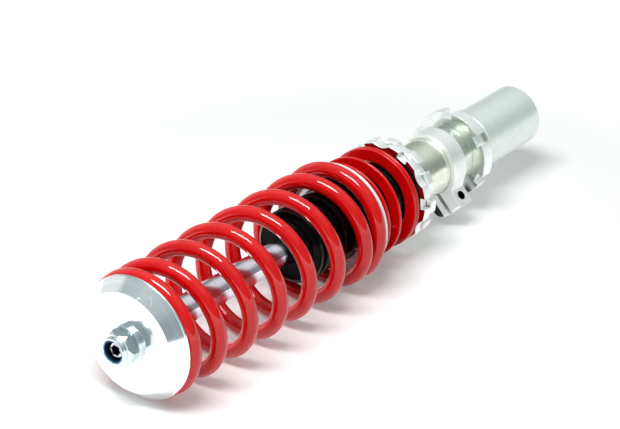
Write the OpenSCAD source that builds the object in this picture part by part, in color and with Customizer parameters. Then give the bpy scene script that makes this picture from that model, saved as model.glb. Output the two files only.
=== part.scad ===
// Coilover strut, lying down: +X runs along the strut to the rod end, +Z is up.
// The origin is on the strut's axis, halfway along the band that the wheel knuckle clamps.
// Each piece is written upright, with its axis on Z and zero at the housing's lower rim,
// and lay_down() turns it. A clock angle is measured round the strut from +Y towards +Z.

/* [Housing] */
// Outside diameter that the wheel knuckle clamps
housing_d = 48; // [46:0.5:60]
// Length of the housing tube
housing_len = 69.5; // [60:0.5:110]
// Wall of the housing
housing_wall = 3; // [2.5:0.1:3.5]
// Bevel on both rims of the housing
housing_bevel = 1; // [0.2:0.1:1.5]
// How far the end cap stands out of the housing
cap_proud = 4; // [2:0.5:10]
// How deep the end cap goes into the housing
cap_depth = 7; // [5:0.5:9]
// Width of the bevel round the end cap's face
cap_bevel = 3; // [1:0.5:4]
// Radial width of the seal ring round the end cap
cap_seal_w = 1; // [0.6:0.1:2]
// Length of the seal ring
cap_seal_len = 3; // [1.5:0.5:4]

/* [Damper tube] */
// Outside diameter of the threaded damper tube
tube_d = 45.8; // [44:0.1:50]
// Wall of the damper tube
tube_wall = 3; // [2:0.1:3.5]
// Length of the tube above the housing
tube_len = 190.5; // [186:0.5:205]
// Gap between the housing's rim and the tube's shoulder
shoulder_gap = 0.4; // [0.3:0.1:3]
// Gap between the end cap and the tube's closed bottom
bottom_gap = 1; // [0.5:0.5:5]
// Thickness of the tube's bottom
bottom_t = 4; // [2:0.5:8]
// Pitch of the thread that the adjusting rings run on
thread_pitch = 2; // [1:0.5:3]
// Radial clearance of the screwed and sliding fits
fit = 0.05; // [0.02:0.01:0.1]

/* [Adjusting rings] */
// Diameter over the lobes of the spring perch and its lock ring
perch_d = 78.6; // [74:0.1:84]
// Thickness of the perch ring, and of its lock ring
perch_t = 6.9; // [5:0.1:8]
// Gap between the perch ring and its lock ring
ring_gap = 0.3; // [0.3:0.1:1]
// Height of the perch above the housing's rim
perch_height = 110.3; // [104:0.1:113]
// Number of spanner notches in each ring
notches = 6; // [4:1:8]
// Width of a spanner notch
notch_w = 8; // [5:0.1:9]
// Depth of a spanner notch in the perch and lock rings
notch_depth = 4.1; // [2:0.05:5]
// Depth of the scallop between two notches
scallop_depth = 2.6; // [1:0.1:3]
// Radius of the scallop between two notches
scallop_r = 11.7; // [8:0.1:16]
// Clock angle of one notch in the perch ring
perch_clock = 2; // [-30:0.1:30]
// Clock angle of one notch in the lock ring
lock_clock = 41; // [0:0.5:60]
// Diameter over the lobes of the lower lock ring
lower_ring_d = 67.4; // [64:0.1:74]
// Thickness of the lower lock ring
lower_ring_t = 10.5; // [8:0.1:12]
// Distance from the housing's rim up to the lower lock ring
lower_ring_gap = 13.1; // [12.6:0.1:18]
// Depth of a notch in the lower lock ring
lower_notch_depth = 4.8; // [2:0.1:5]
// Clock angle of one notch in the lower lock ring
lower_clock = 34; // [0:1:60]

/* [Bracket clamp] */
// Distance from the lower lock ring up to the clamp
clamp_gap = 13.7; // [8:0.1:16]
// Width of the clamp along the strut
clamp_w = 15.8; // [14:0.1:18]
// Wall of the clamp's band
clamp_wall = 3.3; // [2.5:0.1:4.5]
// Clock angle that the clamp's ears point to
ear_clock = -48; // [-80:1:-20]
// How far the ears reach from the strut's axis
ear_reach = 40.2; // [38:0.1:46]
// Thickness of the tapped ear
thick_ear = 10.9; // [9:0.1:14]
// Thickness of the plain ear
thin_ear = 5.3; // [4:0.1:8]
// Width of the slot between the ears
slot_w = 3.2; // [2:0.1:5]
// Distance of the tapped ear's outer face from the strut's axis
ear_face = 7.9; // [6:0.1:9]
// Radius where the band's outside runs into the tapped ear
ear_fillet = 6; // [3:0.5:8]
// Bevel on the ears' corners
ear_corner = 1.6; // [0.4:0.1:4]
// Distance of the clamp bolt from the strut's axis
bolt_reach = 32.4; // [32:0.1:34]
// Nominal diameter of the clamp bolt
bolt_d = 8; // [6:1:8]
// Diameter of the bolt's head
bolt_head_d = 13; // [10:0.5:13]
// Height of the bolt's head
bolt_head_h = 7.6; // [5:0.1:8]
// Width across the flats of the key socket in the bolt's head
bolt_socket_af = 6; // [4:1:6]
// Depth of the key socket in the bolt's head
bolt_socket_depth = 3.9; // [2.5:0.1:5]
// How far the bolt is screwed into the tapped ear
bolt_grip = 6; // [4:0.5:8]
// Diameter of the tapped hole, at the tips of its thread
tap_d = 6.8; // [5:0.1:6.8]

/* [Springs] */
// Free length of the helper spring between its two seats
helper_len = 50.7; // [48:0.1:54]
// Outside diameter of the helper spring
helper_d = 77.8; // [76:0.1:80]
// Width of the helper spring's flat wire
helper_w = 9.5; // [8:0.1:11.1]
// Thickness of the helper spring's flat wire
helper_t = 2.4; // [2:0.1:3]
// Turns of the helper spring
helper_turns = 4.5; // [4.4:0.05:4.9]
// Clock angle at which the helper spring's lower end lies
helper_clock = 135; // [-180:1:180]
// How far the helper spring climbs off the perch to its first flat turn
helper_first_rise = 6.1; // [4:0.1:8]
// Gap between the helper spring's first two flat turns
helper_pair_gap = 0.7; // [0.5:0.1:3]
// How far the helper spring climbs from its last flat turn to the separator
helper_last_rise = 5.4; // [4:0.1:8]
// Place of its third flat turn between the second and the fourth
helper_middle = 0.58; // [0.4:0.01:0.65]
// Free length of the main spring between its two seats
main_len = 216.5; // [210:0.5:224]
// Inside diameter of the main spring
main_bore = 69.9; // [68.5:0.1:74]
// Wire diameter of the main spring
wire_d = 11.1; // [9:0.1:12]
// Turns of the main spring
main_turns = 7.6; // [6.5:0.05:8.5]
// Clock angle at which the main spring's lower end lies
main_clock = -45; // [-180:1:180]
// Depth of the flat on which the main spring lies
rest_flat = 0.5; // [0.3:0.1:1]
// Diameter of the separator ring's flange
separator_d = 84.2; // [81:0.1:90]
// Thickness of the separator ring's flange
separator_t = 3.6; // [2:0.1:5]
// How far each spring seat's collar reaches into the main spring
collar_len = 9.5; // [6:0.1:12]
// Wall of the separator ring's collar, measured inside the spring's chords
separator_wall = 3.5; // [2.6:0.1:3.6]
// Gap between each end coil of the main spring and the turn beside it
main_end_gap = 2.7; // [2.2:0.1:6]
// Gap that a spring keeps from each seat
spring_gap = 0.3; // [0.3:0.05:0.6]

/* [Dust sleeve and bump stop] */
// Diameter over the dust sleeve's ribs
sleeve_d = 49.6; // [48.6:0.1:49.8]
// Diameter of the dust sleeve's collar
sleeve_head_d = 54.6; // [53:0.1:55]
// Length of the dust sleeve's collar
sleeve_head_len = 15; // [8:0.5:16]
// Gap between the dust sleeve's top and the bump stop's body
sleeve_top_gap = 6.1; // [5.5:0.1:12]
// Number of ribs on the dust sleeve
sleeve_ribs = 9; // [4:1:12]
// Depth of the grooves between the ribs
sleeve_groove = 0.7; // [0.3:0.1:0.8]
// Radial gap between the dust sleeve and the tube
sleeve_gap = 0.3; // [0.3:0.1:0.5]
// Diameter of the bump stop
bump_d = 54.6; // [50:0.1:60]
// Height of the bump stop
bump_len = 32.2; // [31:0.1:45]
// Height of the bump stop's foot
bump_foot = 5.1; // [5.1:0.1:8]
// Height of the groove round the bump stop
bump_groove_w = 2.7; // [1.5:0.1:4]
// Depth of the groove round the bump stop
bump_groove_depth = 2.8; // [1:0.1:5]
// Height of the lip above the groove
bump_lip = 4.9; // [3:0.1:8]
// Width of the bevel on the bump stop's nose
bump_nose = 4; // [2:0.1:6]
// Radial gap between the bump stop and the rod
bump_rod_gap = 0.5; // [0.2:0.1:1.5]

/* [Rod and valves] */
// Diameter of the piston rod
rod_d = 20; // [16:0.1:22]
// Diameter of the stud at the rod's top
stud_d = 14; // [12:1:15]
// Height of the bevel at the stud's tip
stud_bevel_h = 2.2; // [0.5:0.1:3]
// Width of the bevel at the stud's tip
stud_bevel_w = 1.7; // [0.5:0.1:2.5]
// How far the stud stays below the top of the nut
stud_recess = 3.4; // [2:0.1:5]
// Width across the flats of the key socket in the stud
socket_af = 6; // [5:0.5:6]
// Depth of the key socket
socket_depth = 8; // [5:0.5:12]
// Diameter of the rod's lower spindle
spindle_d = 12; // [10:0.5:14]
// Outside diameter of the inner cylinder
cylinder_d = 33; // [32:0.5:34]
// Bore of the inner cylinder
bore_d = 30; // [28:0.1:30]
// Height of the piston
piston_h = 18; // [12:0.5:24]
// Radial width of the piston's band
band_w = 1.2; // [0.8:0.1:2]
// Height of the piston's band
band_h = 9; // [5:0.5:11]
// Thickness of each shim stack
shims_t = 1.5; // [0.6:0.1:3]
// Diameter of a shim stack
shims_d = 24; // [20:0.5:25]
// Height of the piston nut
piston_nut_h = 10; // [8:0.5:14]
// Width across the flats of the piston nut
piston_nut_af = 19; // [17:1:22]
// Height of the rebound stop
rebound_h = 13.2; // [6:0.1:20]
// Diameter of the rebound stop
rebound_d = 27.6; // [22:0.1:27.6]
// Gap between the rebound stop and the rod guide
rebound_gap = 5.3; // [3:0.1:6]
// Height of the rod guide
guide_h = 19.5; // [14:0.5:24]
// How deep the rod guide sits in the inner cylinder
guide_spigot = 4.5; // [2:0.5:8]
// Height of the guide bush
bush_h = 15.5; // [8:0.5:17]
// Wall of the guide bush
bush_wall = 1.5; // [1:0.1:2.5]
// Height of the rod seal
seal_h = 6; // [4:0.5:10]
// Thickness of the gland nut's flange
gland_flange = 2; // [1:0.5:4]
// Length of the gland nut's thread
gland_thread = 8; // [6:0.5:12]
// Height of the base valve below the inner cylinder
base_foot = 10; // [6:0.5:16]
// How far the base valve sits in the inner cylinder
base_spigot = 8; // [4:0.5:14]

/* [Upper spring seat] */
// Diameter of the upper spring seat
seat_d = 88.2; // [86:0.1:92]
// Diameter of the seat's flat top
seat_top_d = 72.2; // [60:0.1:80]
// Height of the seat from the spring to its flat top
seat_h = 10.8; // [8:0.1:16]
// Height of the land round the seat's rim
seat_land = 1.6; // [0.5:0.1:3]
// Depth of the hollow under the seat
seat_hollow = 11; // [4:0.5:13]
// Diameter of the seat's hub
hub_d = 28; // [24:0.5:34]
// Wall of the collar that centres the main spring
collar_wall = 3.5; // [3:0.5:8]
// Distance of the hub's lower face below the spring's seat face
hub_drop = 4; // [0:0.5:8]

/* [Top nut] */
// Width across the flats of the top nut
nut_af = 22; // [20:1:24]
// Clock of one of the nut's flats
nut_clock = 28; // [0:1:60]
// How far the bevel under the collar reaches down the nut's corners
nut_shoulder = 3.4; // [1:0.1:4]
// Height of the nut's hexagon
nut_hex_h = 8.2; // [6:0.1:12]
// Height of the nut's collar
nut_collar_h = 3.8; // [3:0.1:6]
// Diameter of the nut's collar
nut_collar_d = 20; // [18:0.1:20]
// Diameter of the nylon ring in the collar
insert_d = 16.1; // [15:0.1:17]
// Radial width of the nylon ring
insert_w = 1.6; // [1:0.1:2]
// Height of the nylon ring
insert_h = 2.8; // [2:0.1:3]
// Number of washers under the nut
washer_count = 2; // [1:1:3]
// Thickness of a washer
washer_t = 1.45; // [1:0.05:2.5]
// Diameter of a washer
washer_d = 26.6; // [24:0.2:36]

/* [Hidden] */
$fn = 96;

// Cutters run this far past the faces that they cut.
past = 1;
// Rings in one turn of a spring, and sides of its wire.
curl_rings = 8;
wire_sides = 6;
// The chords of a spring's turn dip inside its circle by this factor.
chord = cos(180 / curl_rings);

// Radii of the housing and the tube
housing_r = housing_d / 2;
housing_bore = housing_r - housing_wall;
tube_r = tube_d / 2;
neck_r = housing_bore - fit;
tube_bore = tube_r - tube_wall;
neck_bore = neck_r - tube_wall;
ring_bore = tube_r + fit;

// Heights up the strut
knuckle_mid = housing_len / 2;
tube_bottom = cap_depth + bottom_gap;
oil_floor = tube_bottom + bottom_t;
shoulder_z = housing_len + shoulder_gap;
bore_step = shoulder_z + tube_wall;
tube_top = housing_len + tube_len;
lower_ring_z = housing_len + lower_ring_gap;
clamp_z = lower_ring_z + lower_ring_t + clamp_gap;
perch_top = housing_len + perch_height;
perch_z = perch_top - perch_t;
lock_z = perch_z - ring_gap - perch_t;
separator_z = perch_top + helper_len;
main_z = separator_z + separator_t;
seat_z = main_z + main_len;
seat_top = seat_z + seat_h;
washer_step = washer_t + fit;
nut_z = seat_top + washer_count * washer_step;
nut_top = nut_z + nut_hex_h + nut_collar_h;
stud_top = nut_top - stud_recess;
hub_z = seat_z - hub_drop;

// Stack of pieces in the top of the tube, from the gland nut down
gland_z = tube_top - gland_thread;
bump_z = tube_top + gland_flange;
sleeve_z = perch_top + spring_gap;
sleeve_len = bump_z + bump_foot - sleeve_top_gap - sleeve_z;
seal_z = gland_z - seal_h;
guide_z = seal_z - guide_h;
cylinder_top = guide_z + guide_spigot;
cylinder_z = oil_floor + base_foot;

// Stack of pieces on the rod's spindle, from the rebound stop down
rebound_z = guide_z - rebound_gap - rebound_h;
piston_z = rebound_z - shims_t - piston_h;
piston_nut_z = piston_z - shims_t - piston_nut_h;
spindle_z = piston_nut_z - past;

// Radii of the rod and what it runs in
rod_r = rod_d / 2;
bush_r = rod_r + bush_wall;
oil_gap = 0.4;
piston_r = bore_d / 2 - oil_gap;

// The collars stay inside the main spring where its chords dip furthest.
main_mid_r = (main_bore + wire_d) / 2;
main_r = main_mid_r + wire_d / 2;
collar_r = main_mid_r * chord - wire_d / 2 - spring_gap;
separator_r = separator_d / 2;
separator_bore_r = collar_r - separator_wall;

// How high a spring's wire lies after u of its turns: it is flat at first, then climbs
// faster and faster until the end coil has the next turn beside it, and evenly after that.
flat_turns = 0.2;
ramp_turns = 0.85;
lead_turns = flat_turns + ramp_turns;
function climb(u, turns, span, end_rise) =
    u < flat_turns ? 0 :
    u < lead_turns ? end_rise * pow((u - flat_turns) / ramp_turns, 2) :
    u <= turns - lead_turns ?
        end_rise + (span - 2 * end_rise) * (u - lead_turns) / (turns - 2 * lead_turns) :
    span - climb(turns - u, turns, span, end_rise);

// Turns at which a spring's rings lie, ending exactly at its tip
function ring_turns(turns) =
    concat([for (i = [0 : floor(turns * curl_rings - 0.01)]) i / curl_rings], [turns]);

// The helper spring's wire lies flat for rest_turns of each turn and climbs in the rest.
rest_turns = 0.4;
rest_end = 0.93;
tip_turns = 0.15;
function helper_steps(span) =
    let (first = helper_first_rise, second = first + helper_t + helper_pair_gap,
         fourth = span - helper_last_rise,
         third = second + helper_middle * (fourth - second),
         rests = [first, second, third, fourth])
    concat([[0, 0], [tip_turns, 0]],
        [for (i = [0 : 3]) each
            [[i + rest_end - rest_turns, rests[i]], [i + rest_end, rests[i]]]],
        [[helper_turns - tip_turns, span], [helper_turns, span]]);
function helper_rings(low, high) =
    [for (u = ring_turns(helper_turns)) [u, low + lookup(u, helper_steps(high - low))]];

// The centre of each ring of the main spring, as [turn, height]
function spring_path(turns, low, high, end_rise) =
    [for (u = ring_turns(turns)) [u, low + climb(u, turns, high - low, end_rise)]];

// Points of the rings: a section of [radius, height] points carried along the path
function spring_points(path, mid_r, clock, section) = [
    for (ring = path) for (corner = section)
        let (turn = clock + 90 + 360 * ring[0], r = mid_r + corner[0])
        [r * cos(turn), r * sin(turn), ring[1] + corner[1]]
];

// Triangles between neighbouring rings, and a fan over each end
function spring_sides(rings, sides) = [
    for (i = [0 : rings - 2]) for (j = [0 : sides - 1])
        let (a = i * sides + j, b = i * sides + (j + 1) % sides)
        for (half = [[a, b, a + sides], [b, b + sides, a + sides]]) half
];
function spring_end(first, sides, flip) = [
    for (j = [1 : sides - 2])
        flip ? [first, first + j + 1, first + j] : [first, first + j, first + j + 1]
];

// Least gap between one turn and the next, in a spring whose wire is t thick there
function spring_gap_to_self(path, mid_r, t) = min([
    for (i = [0 : len(path) - 1]) for (j = [i + curl_rings / 2 : 1 : len(path) - 1])
        let (turn = 360 * (path[j][0] - path[i][0]))
        norm([2 * mid_r * sin(turn / 2), path[j][1] - path[i][1]]) - t
]);

// Wire sections
round_wire = [
    for (j = [0 : wire_sides - 1])
        wire_d / 2 * [cos(360 * j / wire_sides), sin(360 * j / wire_sides)]
];
flat_edge = helper_t / 4;
flat_wire = [
    [helper_w / 2, 0], [helper_w / 2 - flat_edge, helper_t / 2],
    [flat_edge - helper_w / 2, helper_t / 2], [-helper_w / 2, 0],
    [flat_edge - helper_w / 2, -helper_t / 2], [helper_w / 2 - flat_edge, -helper_t / 2]
];
main_half = wire_d / 2 * sin(60);
main_path = spring_path(main_turns, main_z + spring_gap + main_half,
                        seat_z - spring_gap - main_half, wire_d + main_end_gap);
helper_mid_r = (helper_d - helper_w) / 2;
helper_path = helper_rings(perch_top + spring_gap + helper_t / 2,
                           separator_z - spring_gap - helper_t / 2);
main_gap = spring_gap_to_self(main_path, main_mid_r, wire_d);
helper_gap = spring_gap_to_self(helper_path, helper_mid_r, helper_t);
echo(main_spring_least_gap = main_gap, helper_spring_least_gap = helper_gap);
assert(main_gap > 0.4, "main spring touches itself");
assert(helper_gap > 0.4, "helper spring touches itself");

// Turns an upright piece so that it lies along X with the knuckle band at the origin.
module lay_down() {
    translate([-knuckle_mid, 0, 0]) rotate([0, 90, 0]) children();
}

// Turns an upright piece to a clock angle round the strut.
module at_clock(angle) {
    rotate([0, 0, angle + 90]) children();
}

// Plain ring between two radii, from z up by h
module ring(outer, inner, z, h) {
    translate([0, 0, z]) difference() {
        cylinder(r = outer, h = h);
        translate([0, 0, -past]) cylinder(r = inner, h = h + 2 * past);
    }
}

// Turned piece: an outline of [radius, height] points, spun about the axis
module turned(outline) {
    rotate_extrude() polygon(outline);
}

// Hexagon bar of a given width across its flats
module hex_bar(af, h) {
    cylinder(r = af / 2 / cos(30), h = h, $fn = 6);
}

// Adjusting ring with square spanner notches, and where asked a scallop between each two
module spanner_ring(outer, t, notch, scallop, clock) {
    difference() {
        cylinder(r = outer, h = t);
        translate([0, 0, -past]) cylinder(r = ring_bore, h = t + 2 * past);
        for (i = [0 : notches - 1]) at_clock(clock + 360 * i / notches) {
            translate([outer - notch, -notch_w / 2, -past])
                cube([notch + past, notch_w, t + 2 * past]);
            if (scallop > 0) rotate([0, 0, 180 / notches])
                translate([outer - scallop + scallop_r, 0, -past])
                    cylinder(r = scallop_r, h = t + 2 * past);
        }
    }
}

// One unbroken wire of triangles along a spring's path
module spring_wire(path, mid_r, clock, section) {
    sides = len(section);
    last = (len(path) - 1) * sides;
    polyhedron(
        points = spring_points(path, mid_r, clock, section),
        faces = concat(
            spring_sides(len(path), sides),
            spring_end(0, sides, true),
            spring_end(last, sides, false)
        )
    );
}

// Plain lower tube that slides into the knuckle and is clamped there
module lower_housing() color("lightsteelblue") lay_down() turned([
    [housing_bore, 0], [housing_r - housing_bevel, 0], [housing_r, housing_bevel],
    [housing_r, housing_len - housing_bevel], [housing_r - housing_bevel, housing_len],
    [housing_bore, housing_len]
]);

// Turned plug in the housing's end, with a wide bevel and a shallow punch mark
module end_cap() color("gainsboro") lay_down() difference() {
    plug_r = housing_bore - fit;
    face_r = plug_r - cap_seal_w;
    punch_r = 5;
    punch_depth = 0.8;
    turned([
        [0, -cap_proud], [face_r - cap_bevel, -cap_proud],
        [face_r, cap_bevel - cap_proud], [face_r, cap_seal_len],
        [plug_r, cap_seal_len], [plug_r, cap_depth], [0, cap_depth]
    ]);
    translate([punch_r, 0, punch_depth - cap_proud - punch_r]) sphere(r = punch_r);
}

// Black seal between the end cap and the housing
module cap_seal_ring() color("black") lay_down()
    ring(housing_bore - fit, housing_bore - fit - cap_seal_w, 0, cap_seal_len);

// Damper tube: a closed neck in the housing, and the long body that the rings run on
module damper_tube() color("darkseagreen") lay_down() turned([
    [0, tube_bottom], [neck_r, tube_bottom], [neck_r, shoulder_z], [tube_r, shoulder_z],
    [tube_r, tube_top], [tube_bore, tube_top], [tube_bore, bore_step],
    [neck_bore, bore_step], [neck_bore, oil_floor], [0, oil_floor]
]);

// Ring that locks the tube in the housing once the strut's length is set
module lower_lock_ring() color("silver") lay_down() translate([0, 0, lower_ring_z])
    spanner_ring(lower_ring_d / 2, lower_ring_t, lower_notch_depth, 0, lower_clock);

// The band and both ears seen along the strut, before the slot and the bore are cut
module clamp_section() {
    // The fillet sinks this far into what it joins, so that they meet without a crack.
    sink = 0.02;
    ears_w = thick_ear + slot_w + thin_ear;
    band_r = tube_r + fit + clamp_wall;
    fillet_y = ear_face + ear_fillet - sink;
    fillet_x = sqrt(pow(band_r + ear_fillet - sink, 2) - pow(fillet_y, 2));
    circle(r = band_r);
    translate([0, ear_face - ears_w]) square([ear_reach, ears_w]);
    difference() {
        polygon([[0, 0], [fillet_x, 0], [fillet_x, fillet_y]]);
        translate([fillet_x, fillet_y]) circle(r = ear_fillet);
    }
}

// Split band clamp that carries the hose bracket, with a tapped ear and a plain one
module bracket_clamp() color("silver") lay_down() translate([0, 0, clamp_z])
    at_clock(ear_clock) difference() {
        slot_face = ear_face - thick_ear;
        linear_extrude(clamp_w) clamp_section();
        translate([0, 0, -past]) cylinder(r = ring_bore, h = clamp_w + 2 * past);
        translate([0, slot_face - slot_w, -past])
            cube([ear_reach + past, slot_w, clamp_w + 2 * past]);
        translate([bolt_reach, ear_face + past, clamp_w / 2]) rotate([90, 0, 0])
            cylinder(d = tap_d, h = past + thick_ear + slot_w / 2);
        translate([bolt_reach, slot_face - slot_w / 2, clamp_w / 2]) rotate([90, 0, 0])
            cylinder(r = bolt_d / 2 + 2 * fit, h = slot_w + thin_ear);
        for (z = [0, clamp_w]) translate([ear_reach, -ear_reach, z]) rotate([-90, 0, 0])
            linear_extrude(2 * ear_reach)
                polygon([[-ear_corner, 0], [0, -ear_corner], [ear_corner, 0], [0, ear_corner]]);
    }

// Socket-head bolt that draws the clamp's ears together
module clamp_bolt() color("black") lay_down() translate([0, 0, clamp_z + clamp_w / 2])
    at_clock(ear_clock) translate([bolt_reach, 0, 0]) rotate([90, 0, 0]) {
        slot_face = ear_face - thick_ear;
        seat_y = slot_w + thin_ear - slot_face;
        translate([0, 0, -slot_face - bolt_grip]) cylinder(r = tap_d / 2 - fit, h = bolt_grip);
        translate([0, 0, -slot_face]) cylinder(d = bolt_d, h = slot_w + thin_ear);
        translate([0, 0, seat_y]) difference() {
            cylinder(d = bolt_head_d, h = bolt_head_h);
            translate([0, 0, bolt_head_h - bolt_socket_depth])
                hex_bar(bolt_socket_af, bolt_socket_depth + past);
        }
    }

// Ring that locks the perch where it is set
module lock_ring() color("silver") lay_down() translate([0, 0, lock_z])
    spanner_ring(perch_d / 2, perch_t, notch_depth, scallop_depth, lock_clock);

// Ring that carries the springs and sets the ride height
module perch_ring() color("silver") lay_down() translate([0, 0, perch_z])
    spanner_ring(perch_d / 2, perch_t, notch_depth, scallop_depth, perch_clock);

// Soft flat-wire spring that keeps the main spring seated at full droop
module helper_spring() color("firebrick") lay_down()
    spring_wire(helper_path, helper_mid_r, helper_clock, flat_wire);

// Ribbed sleeve that keeps the springs off the tube
module dust_sleeve() color("black") lay_down() {
    inner = tube_r + sleeve_gap;
    outer = sleeve_d / 2;
    head = sleeve_head_d / 2;
    ribbed = sleeve_len - sleeve_head_len;
    rib = ribbed / (sleeve_ribs + 0.5);
    translate([0, 0, sleeve_z]) difference() {
        union() {
            cylinder(r = outer, h = ribbed);
            translate([0, 0, ribbed]) cylinder(r = head, h = sleeve_head_len);
        }
        translate([0, 0, -past]) cylinder(r = inner, h = sleeve_len + 2 * past);
        for (i = [1 : sleeve_ribs])
            ring(outer + past, outer - sleeve_groove, i * rib, rib / 3);
    }
}

// Flanged ring between the two springs, with a collar inside the main spring
module separator_ring() color("whitesmoke") lay_down() turned([
    [separator_bore_r, separator_z], [separator_r, separator_z],
    [separator_r, main_z], [collar_r, main_z], [collar_r, main_z + collar_len],
    [separator_bore_r, main_z + collar_len]
]);

// Red main spring, cut flat where the strut lies on it
module main_spring() color("red") lay_down() difference() {
    spring_wire(main_path, main_mid_r, main_clock, round_wire);
    translate([main_r - rest_flat, -main_r, main_z])
        cube([main_r, 2 * main_r, main_len]);
}

// Rubber bump stop that sits on the gland nut, round the rod
module bump_stop() color("black") lay_down() {
    r = bump_d / 2;
    bore = rod_r + bump_rod_gap;
    lip_z = bump_len - bump_nose - bump_lip;
    groove_r = r - bump_groove_depth;
    translate([0, 0, bump_z]) turned([
        [bore, 0], [tube_r - 2 * fit, 0], [tube_r - 2 * fit, bump_foot], [r, bump_foot],
        [r, lip_z - bump_groove_w], [groove_r, lip_z - bump_groove_w], [groove_r, lip_z],
        [r, lip_z], [r, bump_len - bump_nose], [r - bump_nose, bump_len], [bore, bump_len]
    ]);
}

// Flanged nut that closes the tube and holds the seal and the guide down
module gland_nut() color("dimgray") lay_down() turned([
    [rod_r + oil_gap, gland_z], [tube_bore - fit, gland_z], [tube_bore - fit, tube_top],
    [tube_r, tube_top], [tube_r, bump_z], [rod_r + oil_gap, bump_z]
]);

// Lip seal round the rod
module rod_seal() color("black") lay_down()
    ring(tube_bore - fit, rod_r + fit / 2, seal_z, seal_h);

// Guide that centres the rod and closes the inner cylinder
module rod_guide() color("slategray") lay_down() {
    bush_z = seal_z - bush_h;
    turned([
        [rod_r + oil_gap, guide_z], [bore_d / 2 - fit, guide_z],
        [bore_d / 2 - fit, cylinder_top], [tube_bore - fit, cylinder_top],
        [tube_bore - fit, seal_z], [bush_r + fit, seal_z], [bush_r + fit, bush_z],
        [rod_r + oil_gap, bush_z]
    ]);
}

// Bronze bush that the rod slides in
module guide_bush() color("darkgoldenrod") lay_down()
    ring(bush_r, rod_r + fit, seal_z - bush_h, bush_h);

// Pressure tube that the piston works in
module inner_cylinder() color("lightgray") lay_down()
    ring(cylinder_d / 2, bore_d / 2, cylinder_z, cylinder_top - cylinder_z);

// Foot valve under the inner cylinder, with a central passage
module base_valve() color("peru") lay_down() {
    passage_r = 3;
    turned([
        [passage_r, oil_floor], [cylinder_d / 2, oil_floor], [cylinder_d / 2, cylinder_z],
        [bore_d / 2 - fit, cylinder_z], [bore_d / 2 - fit, cylinder_z + base_spigot],
        [passage_r, cylinder_z + base_spigot]
    ]);
}

// Chromed rod, with a spindle for the piston below and a stud with a key socket above
module piston_rod() color("lightgray") lay_down() difference() {
    turned([
        [0, spindle_z], [spindle_d / 2, spindle_z], [spindle_d / 2, rebound_z],
        [rod_r, rebound_z], [rod_r, hub_z], [stud_d / 2, hub_z],
        [stud_d / 2, stud_top - stud_bevel_h], [stud_d / 2 - stud_bevel_w, stud_top],
        [0, stud_top]
    ]);
    translate([0, 0, stud_top - socket_depth]) hex_bar(socket_af, socket_depth + past);
}

// Cushion that meets the rod guide when the strut is fully out
module rebound_stop() color("ivory") lay_down()
    ring(rebound_d / 2, rod_r + fit, rebound_z, rebound_h);

// Shim stack above the piston
module rebound_shims() color("steelblue") lay_down()
    ring(shims_d / 2, spindle_d / 2 + fit, rebound_z - shims_t, shims_t);

// Piston with a groove for its band and a ring of oil passages
module piston() color("darkgray") lay_down() translate([0, 0, piston_z]) difference() {
    passages = 6;
    passage_r = 1.6;
    passage_pitch_r = (spindle_d + shims_d) / 4;
    cylinder(r = piston_r, h = piston_h);
    translate([0, 0, -past]) cylinder(r = spindle_d / 2 + fit, h = piston_h + 2 * past);
    ring(piston_r + past, piston_r - band_w, (piston_h - band_h) / 2, band_h);
    for (i = [0 : passages - 1]) rotate([0, 0, 360 * i / passages])
        translate([passage_pitch_r, 0, -past])
            cylinder(r = passage_r, h = piston_h + 2 * past);
}

// Low-friction band that seals the piston in the inner cylinder
module piston_band() color("saddlebrown") lay_down()
    ring(bore_d / 2 - fit, piston_r - band_w, piston_z + (piston_h - band_h) / 2, band_h);

// Shim stack below the piston
module compression_shims() color("steelblue") lay_down()
    ring(shims_d / 2, spindle_d / 2 + fit, piston_z - shims_t, shims_t);

// Nut that holds the valve stack on the spindle
module piston_nut() color("gray") lay_down() translate([0, 0, piston_nut_z]) difference() {
    hex_bar(piston_nut_af, piston_nut_h);
    translate([0, 0, -past]) cylinder(r = spindle_d / 2 + fit, h = piston_nut_h + 2 * past);
}

// Turned top seat: a flat face, a steep flank to the rim, and a collar in the spring
module upper_spring_seat() color("whitesmoke") lay_down() {
    land_step = 0.5;
    hollow_top = seat_z - collar_len + seat_hollow;
    inner = collar_r - collar_wall;
    turned([
        [stud_d / 2 + fit, hub_z], [hub_d / 2, hub_z], [hub_d / 2, hollow_top],
        [inner, hollow_top], [inner, seat_z - collar_len], [collar_r, seat_z - collar_len],
        [collar_r, seat_z], [seat_d / 2, seat_z], [seat_d / 2, seat_z + seat_land],
        [seat_d / 2 - land_step, seat_z + seat_land], [seat_top_d / 2, seat_top],
        [stud_d / 2 + fit, seat_top]
    ]);
}

// Plain washers under the top nut
module washers() color("silver") lay_down() for (i = [0 : washer_count - 1])
    ring(washer_d / 2, stud_d / 2 + 4 * fit, seat_top + i * washer_step, washer_t);

// Self-locking nut: a hexagon with bevelled corners, and a collar for its nylon ring
module top_nut() color("silver") lay_down() translate([0, 0, nut_z]) {
    corner_r = nut_af / 2 / cos(30);
    bevel = corner_r - nut_af / 2;
    slope = tan(30);
    nut_h = nut_hex_h + nut_collar_h;
    difference() {
        union() {
            intersection() {
                rotate([0, 0, nut_clock]) hex_bar(nut_af, nut_hex_h);
                turned([
                    [0, 0], [nut_af / 2, 0], [corner_r, bevel * slope],
                    [corner_r, nut_hex_h - nut_shoulder], [nut_af / 2, nut_hex_h],
                    [0, nut_hex_h]
                ]);
            }
            cylinder(d = nut_collar_d, h = nut_h);
        }
        translate([0, 0, -past]) cylinder(r = stud_d / 2 + fit, h = nut_h + 2 * past);
        translate([0, 0, nut_h - insert_h]) cylinder(r = insert_d / 2, h = insert_h + past);
    }
}

// Blue nylon ring that grips the stud's thread
module nylon_insert() color("steelblue") lay_down()
    ring(insert_d / 2, insert_d / 2 - insert_w, nut_top - insert_h, insert_h - 2 * fit);

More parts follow.
